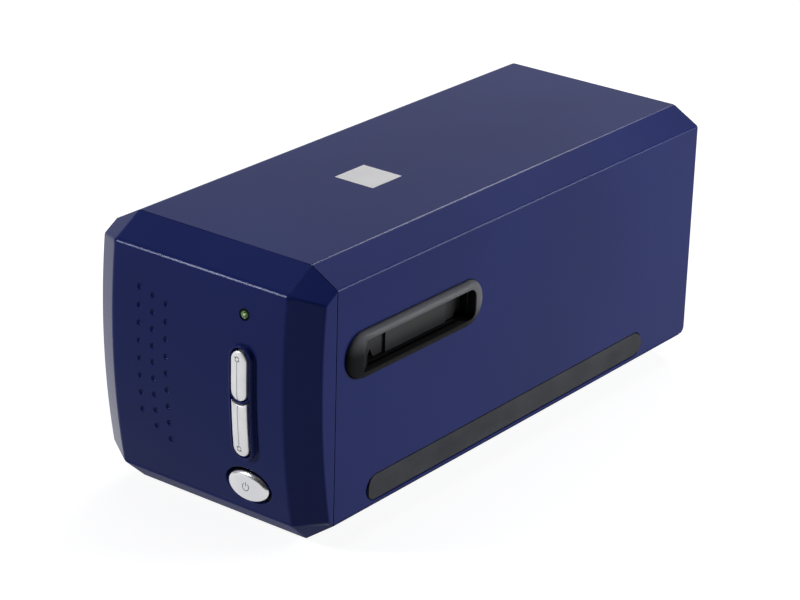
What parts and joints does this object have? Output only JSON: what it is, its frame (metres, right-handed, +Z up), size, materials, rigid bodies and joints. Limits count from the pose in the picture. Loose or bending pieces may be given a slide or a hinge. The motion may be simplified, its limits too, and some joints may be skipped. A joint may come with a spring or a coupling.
{
  "type": "film scanner",
  "caption": "Desktop scanner for film negatives and slides: chamfered box with a film slot through both sides, dust doors, front buttons and a sliding carriage inside.",
  "frame": {"origin": "middle of the footprint of the whole scanner, at the soles of the feet", "axes": "+X right seen from the front, -Y out of the front, +Z up"},
  "size_m": [0.12, 0.272, 0.1189],
  "materials": {
    "blue_paint": "satin fine-grained navy blue paint on moulded plastic",
    "base_plastic": "dark moulded plastic with a fine spark texture",
    "ring_plastic": "dark grey moulded plastic",
    "door_plastic": "black moulded plastic",
    "rubber": "matt dark grey rubber",
    "silver_keys": "satin silver paint on moulded plastic",
    "chrome_key": "satin chrome plating on moulded plastic",
    "green_lens": "clear green light pipe",
    "label_paper": "white coated sticker",
    "steel": "zinc-plated or ground steel",
    "board": "green solder mask on glass-fibre laminate",
    "electronics": "black moulded packages",
    "carriage_plastic": "black glass-filled plastic",
    "bearing_bronze": "sintered bronze or turned brass",
    "acetal": "natural acetal",
    "mirror": "front-surface mirror",
    "lens": "coated optical glass",
    "diffuser": "milky acrylic",
    "ribbon": "white polyester ribbon cable"
  },
  "bodies": {
    "root": {"main_cover": "blue_paint", "base_pan": "base_plastic", "front_bezel": "blue_paint", "rear_panel": "base_plastic", "side_strip_right": "rubber", "side_strip_left": "rubber", "slot_bezel_right": "ring_plastic", "slot_bezel_left": "ring_plastic", "door_spring_right": "steel", "door_spring_left": "steel", "light_pipe": "green_lens", "top_label": "label_paper", "foot_front_left": "rubber", "foot_front_right": "rubber", "foot_rear_left": "rubber", "foot_rear_right": "rubber", "button_board": "board", "button_switches": "electronics", "status_led": "diffuser", "front_board_screws": "steel", "chassis": "steel", "film_track": "door_plastic", "track_cover": "door_plastic", "track_screws": "steel", "front_bracket": "steel", "rear_bracket": "steel", "guide_rod_left": "steel", "guide_rod_right": "steel", "stepper_motor": "steel", "motor_screws": "steel", "main_board": "board", "board_parts": "electronics", "usb_socket": "steel", "power_socket": "electronics", "board_screws": "steel", "home_sensor": "electronics", "flat_cable": "ribbon", "case_screws": "steel"},
    "door_right": {"dust_door_right": "door_plastic"},
    "door_left": {"dust_door_left": "door_plastic"},
    "upper_key": {"upper_scan_button": "silver_keys"},
    "lower_key": {"lower_scan_button": "silver_keys"},
    "power_key": {"power_button": "chrome_key"},
    "carriage": {"carriage_housing": "carriage_plastic", "carriage_lid": "carriage_plastic", "rod_bushings": "bearing_bronze", "drive_nut": "acetal", "scan_mirror": "mirror", "lens_barrel": "carriage_plastic", "lens_glass": "lens", "lens_strap": "steel", "line_sensor": "electronics", "sensor_board": "board", "lamp_arm": "carriage_plastic", "lamp_board": "diffuser", "lamp_diffuser": "diffuser"},
    "drive_screw": {"lead_screw": "steel", "screw_gear": "acetal"},
    "motor_rotor": {"motor_shaft": "steel", "motor_pinion": "bearing_bronze"}
  },
  "joints": [
    {"name": "door_right_hinge", "type": "hinge", "parent": "root", "child": "door_right", "pos_m": [0.05133, -0.0643, 0.08945], "axis": [0, 1, 0], "range_deg": [0, 82], "stiffness_Nm_per_rad": 0.004, "springref_deg": -20.05},
    {"name": "door_left_hinge", "type": "hinge", "parent": "root", "child": "door_left", "pos_m": [-0.05133, -0.0643, 0.08945], "axis": [0, -1, 0], "range_deg": [0, 82], "stiffness_Nm_per_rad": 0.004, "springref_deg": -20.05},
    {"name": "upper_key_press", "type": "slide", "parent": "root", "child": "upper_key", "axis": [0, 1, 0], "range_m": [0, 0.0008], "stiffness_N_per_m": 1500, "springref_m": -0.0003},
    {"name": "lower_key_press", "type": "slide", "parent": "root", "child": "lower_key", "axis": [0, 1, 0], "range_m": [0, 0.0008], "stiffness_N_per_m": 1500, "springref_m": -0.0003},
    {"name": "power_key_press", "type": "slide", "parent": "root", "child": "power_key", "axis": [0, 1, 0], "range_m": [0, 0.0008], "stiffness_N_per_m": 1500, "springref_m": -0.0003},
    {"name": "carriage_slide", "type": "slide", "parent": "root", "child": "carriage", "axis": [0, 1, 0], "range_m": [0, 0.036]},
    {"name": "screw_turn", "type": "hinge", "parent": "root", "child": "drive_screw", "pos_m": [-0.0415, 0.0334, 0.0546], "axis": [0, 1, 0], "range_deg": [-2161, 1]},
    {"name": "motor_turn", "type": "hinge", "parent": "root", "child": "motor_rotor", "pos_m": [-0.0255, 0.0834, 0.0546], "axis": [0, 1, 0], "range_deg": [-1, 6481]}
  ],
  "couplings": [
    {"joint": "screw_turn", "follows": "carriage_slide", "rad_per_m": -1047.2},
    {"joint": "motor_turn", "follows": "carriage_slide", "rad_per_m": 3141.6}
  ]
}
